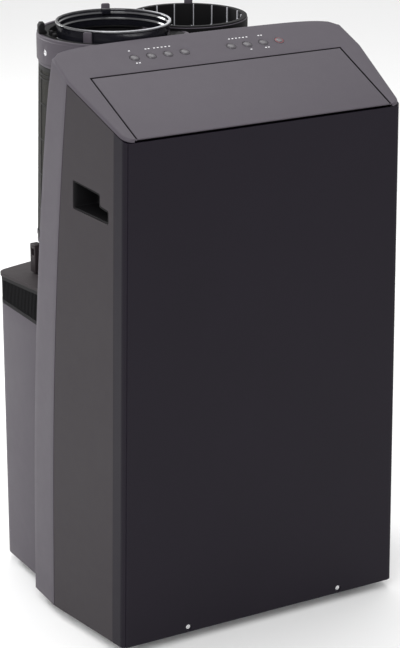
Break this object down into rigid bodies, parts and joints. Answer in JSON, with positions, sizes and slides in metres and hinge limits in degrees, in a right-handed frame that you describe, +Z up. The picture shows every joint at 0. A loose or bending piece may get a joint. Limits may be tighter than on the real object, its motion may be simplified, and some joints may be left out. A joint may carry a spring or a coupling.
{
  "type": "portable air conditioner",
  "caption": "Upright portable air conditioner with a sloping button roof, an air flap, two round hose ports behind it and swivel casters.",
  "frame": {"origin": "on the floor below the middle of the bounding box", "axes": "+Z up, -Y towards the front panel, +X to the right of someone facing the front"},
  "size_m": [0.4842, 0.418, 0.816],
  "materials": {
    "panel_grey": "fine satin grain",
    "gloss_black": "semi-gloss",
    "shell_grey": "fine satin grain",
    "matt_black": "matt",
    "filter_mesh": "fine woven mesh on a frame",
    "steel": "bright",
    "rubber": "matt",
    "button_grey": "satin",
    "board_green": "solder mask",
    "fin_metal": "finned",
    "can_black": "satin enamel",
    "galvanised": "zinc plated"
  },
  "bodies": {
    "root": {"side_panel_left": "panel_grey", "side_panel_right": "panel_grey", "front_panel": "gloss_black", "main_shell": "shell_grey", "rear_housing": "shell_grey", "rear_top_cover": "shell_grey", "cord_hook": "shell_grey", "column_shell": "shell_grey", "column_cap": "shell_grey", "intake_guard": "shell_grey", "handle_cup_left": "matt_black", "handle_cup_right": "matt_black", "flap_motor": "matt_black", "outlet_duct": "matt_black", "rear_grille": "matt_black", "hose_latch": "matt_black", "exhaust_duct": "matt_black", "intake_duct": "matt_black", "front_screw_left": "steel", "front_screw_right": "steel", "flap_hinge_rod": "steel", "cap_screw": "steel", "condenser_blower_motor": "steel", "evaporator_blower_motor": "steel", "cord_gland": "rubber", "control_board": "board_green", "condenser": "fin_metal", "evaporator": "fin_metal", "compressor": "can_black", "accumulator": "can_black", "base_pan": "galvanised", "divider_deck": "galvanised"},
    "flap": {"flap": "shell_grey"},
    "vane_link": {"vane_link": "matt_black"},
    "column_filter": {"column_filter": "filter_mesh"},
    "hose_adaptor": {"hose_adaptor": "gloss_black"},
    "drain_plug": {"drain_plug": "rubber"},
    "condenser_blower": {"condenser_blower_wheel": "matt_black"},
    "evaporator_blower": {"evaporator_blower_wheel": "matt_black"},
    "vane_1": {"vane_1": "matt_black"},
    "vane_2": {"vane_2": "matt_black"},
    "vane_3": {"vane_3": "matt_black"},
    "vane_4": {"vane_4": "matt_black"},
    "vane_5": {"vane_5": "matt_black"},
    "button_timer": {"button_timer": "button_grey"},
    "button_sleep": {"button_sleep": "button_grey"},
    "button_mode": {"button_mode": "button_grey"},
    "button_fan_speed": {"button_fan_speed": "button_grey"},
    "button_cooler": {"button_cooler": "button_grey"},
    "button_warmer": {"button_warmer": "button_grey"},
    "button_swing": {"button_swing": "button_grey"},
    "button_power": {"button_power": "button_grey"},
    "caster_fork_front_left": {"caster_fork_front_left": "galvanised"},
    "caster_wheel_front_left": {"caster_wheel_front_left": "rubber"},
    "caster_fork_front_right": {"caster_fork_front_right": "galvanised"},
    "caster_wheel_front_right": {"caster_wheel_front_right": "rubber"},
    "caster_fork_rear_left": {"caster_fork_rear_left": "galvanised"},
    "caster_wheel_rear_left": {"caster_wheel_rear_left": "rubber"},
    "caster_fork_rear_right": {"caster_fork_rear_right": "galvanised"},
    "caster_wheel_rear_right": {"caster_wheel_rear_right": "rubber"}
  },
  "joints": [
    {"name": "flap_hinge", "type": "hinge", "parent": "root", "child": "flap", "pos_m": [0, -0.08746, 0.76495], "axis": [-1, 0, 0], "range_deg": [0, 45]},
    {"name": "vane_1_pivot", "type": "hinge", "parent": "root", "child": "vane_1", "pos_m": [-0.132, -0.13899, 0.73355], "axis": [0, -0.384, 0.9233], "range_deg": [-31, 31]},
    {"name": "vane_2_pivot", "type": "hinge", "parent": "root", "child": "vane_2", "pos_m": [-0.066, -0.13899, 0.73355], "axis": [0, -0.384, 0.9233], "range_deg": [-31, 31]},
    {"name": "vane_3_pivot", "type": "hinge", "parent": "root", "child": "vane_3", "pos_m": [0, -0.13899, 0.73355], "axis": [0, -0.384, 0.9233], "range_deg": [-31, 31]},
    {"name": "vane_4_pivot", "type": "hinge", "parent": "root", "child": "vane_4", "pos_m": [0.066, -0.13899, 0.73355], "axis": [0, -0.384, 0.9233], "range_deg": [-31, 31]},
    {"name": "vane_5_pivot", "type": "hinge", "parent": "root", "child": "vane_5", "pos_m": [0.132, -0.13899, 0.73355], "axis": [0, -0.384, 0.9233], "range_deg": [-31, 31]},
    {"name": "vane_link_slide", "type": "slide", "parent": "root", "child": "vane_link", "axis": [1, 0, 0], "range_m": [-0.0104, 0.0104]},
    {"name": "button_timer_press", "type": "slide", "parent": "root", "child": "button_timer", "axis": [0, 0.384, -0.9233], "range_m": [0, 0.0012], "stiffness_N_per_m": 800, "springref_m": -0.0003},
    {"name": "button_sleep_press", "type": "slide", "parent": "root", "child": "button_sleep", "axis": [0, 0.384, -0.9233], "range_m": [0, 0.0012], "stiffness_N_per_m": 800, "springref_m": -0.0003},
    {"name": "button_mode_press", "type": "slide", "parent": "root", "child": "button_mode", "axis": [0, 0.384, -0.9233], "range_m": [0, 0.0012], "stiffness_N_per_m": 800, "springref_m": -0.0003},
    {"name": "button_fan_speed_press", "type": "slide", "parent": "root", "child": "button_fan_speed", "axis": [0, 0.384, -0.9233], "range_m": [0, 0.0012], "stiffness_N_per_m": 800, "springref_m": -0.0003},
    {"name": "button_cooler_press", "type": "slide", "parent": "root", "child": "button_cooler", "axis": [0, 0.384, -0.9233], "range_m": [0, 0.0012], "stiffness_N_per_m": 800, "springref_m": -0.0003},
    {"name": "button_warmer_press", "type": "slide", "parent": "root", "child": "button_warmer", "axis": [0, 0.384, -0.9233], "range_m": [0, 0.0012], "stiffness_N_per_m": 800, "springref_m": -0.0003},
    {"name": "button_swing_press", "type": "slide", "parent": "root", "child": "button_swing", "axis": [0, 0.384, -0.9233], "range_m": [0, 0.0012], "stiffness_N_per_m": 800, "springref_m": -0.0003},
    {"name": "button_power_press", "type": "slide", "parent": "root", "child": "button_power", "axis": [0, 0.384, -0.9233], "range_m": [0, 0.0012], "stiffness_N_per_m": 800, "springref_m": -0.0003},
    {"name": "filter_pull", "type": "slide", "parent": "root", "child": "column_filter", "axis": [-1, 0, 0], "range_m": [0, 0.06]},
    {"name": "adaptor_lift", "type": "slide", "parent": "root", "child": "hose_adaptor", "axis": [0, 0, 1], "range_m": [0, 0.03]},
    {"name": "drain_plug_pull", "type": "slide", "parent": "root", "child": "drain_plug", "axis": [0, 1, 0], "range_m": [0, 0.02]},
    {"name": "condenser_blower_spin", "type": "hinge", "parent": "root", "child": "condenser_blower", "pos_m": [-0.08, 0.081, 0.205], "axis": [0, 1, 0], "continuous": true},
    {"name": "evaporator_blower_spin", "type": "hinge", "parent": "root", "child": "evaporator_blower", "pos_m": [0, -0.099, 0.56], "axis": [0, 1, 0], "continuous": true},
    {"name": "caster_front_left_swivel", "type": "hinge", "parent": "root", "child": "caster_fork_front_left", "pos_m": [-0.165, -0.151, 0.04], "axis": [0, 0, 1], "continuous": true},
    {"name": "caster_front_left_roll", "type": "hinge", "parent": "caster_fork_front_left", "child": "caster_wheel_front_left", "pos_m": [-0.165, -0.139, 0.019], "axis": [1, 0, 0], "continuous": true},
    {"name": "caster_front_right_swivel", "type": "hinge", "parent": "root", "child": "caster_fork_front_right", "pos_m": [0.165, -0.151, 0.04], "axis": [0, 0, 1], "continuous": true},
    {"name": "caster_front_right_roll", "type": "hinge", "parent": "caster_fork_front_right", "child": "caster_wheel_front_right", "pos_m": [0.165, -0.139, 0.019], "axis": [1, 0, 0], "continuous": true},
    {"name": "caster_rear_left_swivel", "type": "hinge", "parent": "root", "child": "caster_fork_rear_left", "pos_m": [-0.165, 0.116, 0.04], "axis": [0, 0, 1], "continuous": true},
    {"name": "caster_rear_left_roll", "type": "hinge", "parent": "caster_fork_rear_left", "child": "caster_wheel_rear_left", "pos_m": [-0.165, 0.128, 0.019], "axis": [1, 0, 0], "continuous": true},
    {"name": "caster_rear_right_swivel", "type": "hinge", "parent": "root", "child": "caster_fork_rear_right", "pos_m": [0.165, 0.116, 0.04], "axis": [0, 0, 1], "continuous": true},
    {"name": "caster_rear_right_roll", "type": "hinge", "parent": "caster_fork_rear_right", "child": "caster_wheel_rear_right", "pos_m": [0.165, 0.128, 0.019], "axis": [1, 0, 0], "continuous": true}
  ],
  "couplings": [
    {"joint": "vane_1_pivot", "follows": "vane_link_slide", "rad_per_m": -50},
    {"joint": "vane_2_pivot", "follows": "vane_link_slide", "rad_per_m": -50},
    {"joint": "vane_3_pivot", "follows": "vane_link_slide", "rad_per_m": -50},
    {"joint": "vane_4_pivot", "follows": "vane_link_slide", "rad_per_m": -50},
    {"joint": "vane_5_pivot", "follows": "vane_link_slide", "rad_per_m": -50}
  ]
}
